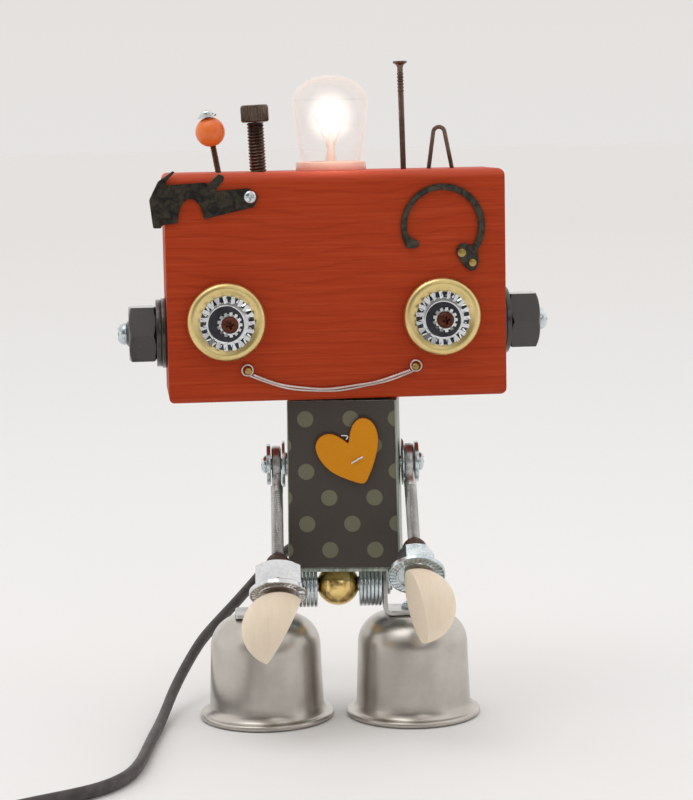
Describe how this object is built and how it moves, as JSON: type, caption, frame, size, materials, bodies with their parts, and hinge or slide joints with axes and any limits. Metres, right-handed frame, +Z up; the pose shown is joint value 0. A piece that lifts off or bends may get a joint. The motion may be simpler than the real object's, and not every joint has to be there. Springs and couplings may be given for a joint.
{
  "type": "robot table lamp",
  "caption": "Free-standing robot table lamp of reused hardware: turning timber head with a bulb, tin box torso, swinging arms with wooden hands, cup feet on a hip axle, mains cord.",
  "frame": {"origin": "middle of the object's footprint on the surface that it stands on, the free cord left out", "axes": "+Z up, -Y the way the robot's chest and face look, +X to the viewer's right when facing it"},
  "size_m": [0.2398, 0.3121, 0.2658],
  "materials": {
    "red_timber": "satin",
    "holder_plastic": "gloss",
    "brass": "polished",
    "black_flex": "matte",
    "black_plastic": "matte",
    "dark_steel": "satin",
    "gold_metal": "satin",
    "zinc_steel": "satin",
    "orange_bead": "gloss",
    "bulb_glass": "clear",
    "filament": "satin",
    "tinplate": "satin",
    "dotted_paper": "matte",
    "mustard_enamel": "satin",
    "maple": "satin",
    "brown_plug": "matte",
    "cup_steel": "satin"
  },
  "bodies": {
    "torso": {"torso_shell": "tinplate", "chest_paper": "dotted_paper", "chest_heart": "mustard_enamel", "neck_nipple": "zinc_steel", "neck_washers": "zinc_steel", "brass_ball": "brass", "hip_axle": "zinc_steel", "hip_washers": "zinc_steel", "shoulder_screws": "zinc_steel", "shoulder_washers": "zinc_steel", "axle_clips": "zinc_steel", "cord_gland": "black_plastic", "cord": "black_flex", "cord_coil": "black_flex", "plug_body": "black_plastic", "plug_pins": "brass"},
    "head": {"head_block": "red_timber", "lamp_holder": "holder_plastic", "holder_contact": "brass", "head_lead": "black_flex", "ear_washers_left": "dark_steel", "ear_washers_right": "dark_steel", "ear_nut_left": "dark_steel", "ear_nut_right": "dark_steel", "ear_screw_left": "zinc_steel", "ear_screw_right": "zinc_steel", "eye_rosette_left": "gold_metal", "eye_rosette_right": "gold_metal", "eye_washers_left": "zinc_steel", "eye_washers_right": "zinc_steel", "eye_screw_left": "dark_steel", "eye_screw_right": "dark_steel", "mouth_wire": "zinc_steel", "mouth_nails": "brass", "latch_plate": "dark_steel", "latch_screw": "zinc_steel", "ring_arm": "dark_steel", "ring_pins": "brass", "cap_screw": "dark_steel", "bead_screw": "dark_steel", "bead": "orange_bead", "top_nail": "dark_steel", "hairpin": "dark_steel"},
    "bulb": {"bulb_glass": "bulb_glass", "bulb_cap": "brass", "bulb_filament": "filament"},
    "arm_left": {"eyebolt_left": "zinc_steel", "wrist_nut_left": "zinc_steel", "wrist_plug_left": "brown_plug", "hand_left": "maple"},
    "arm_right": {"eyebolt_right": "zinc_steel", "wrist_nut_right": "zinc_steel", "wrist_plug_right": "brown_plug", "hand_right": "maple"},
    "leg_left": {"hip_link_left": "zinc_steel", "foot_cup_left": "cup_steel", "foot_screws_left": "zinc_steel"},
    "leg_right": {"hip_link_right": "zinc_steel", "foot_cup_right": "cup_steel", "foot_screws_right": "zinc_steel"}
  },
  "joints": [
    {"name": "head_swivel", "type": "hinge", "parent": "torso", "child": "head", "pos_m": [0, 0.022, 0.133], "axis": [0, 0, 1], "range_deg": [-60, 55]},
    {"name": "bulb_unscrew", "type": "slide", "parent": "head", "child": "bulb", "axis": [0, 0, 1], "range_m": [0, 0.03]},
    {"name": "shoulder_left", "type": "hinge", "parent": "torso", "child": "arm_left", "pos_m": [-0.0242, 0.022, 0.1045], "axis": [-1, 0, 0], "range_deg": [-4, 60]},
    {"name": "shoulder_right", "type": "hinge", "parent": "torso", "child": "arm_right", "pos_m": [0.0297, 0.022, 0.1045], "axis": [-1, 0, 0], "range_deg": [-15, 49]},
    {"name": "hip_left", "type": "hinge", "parent": "torso", "child": "leg_left", "pos_m": [-0.0302, 0.022, 0.0543], "axis": [-1, 0, 0], "range_deg": [-15, 15]},
    {"name": "hip_right", "type": "hinge", "parent": "torso", "child": "leg_right", "pos_m": [0.0302, 0.022, 0.0543], "axis": [-1, 0, 0], "range_deg": [-15, 15]}
  ]
}
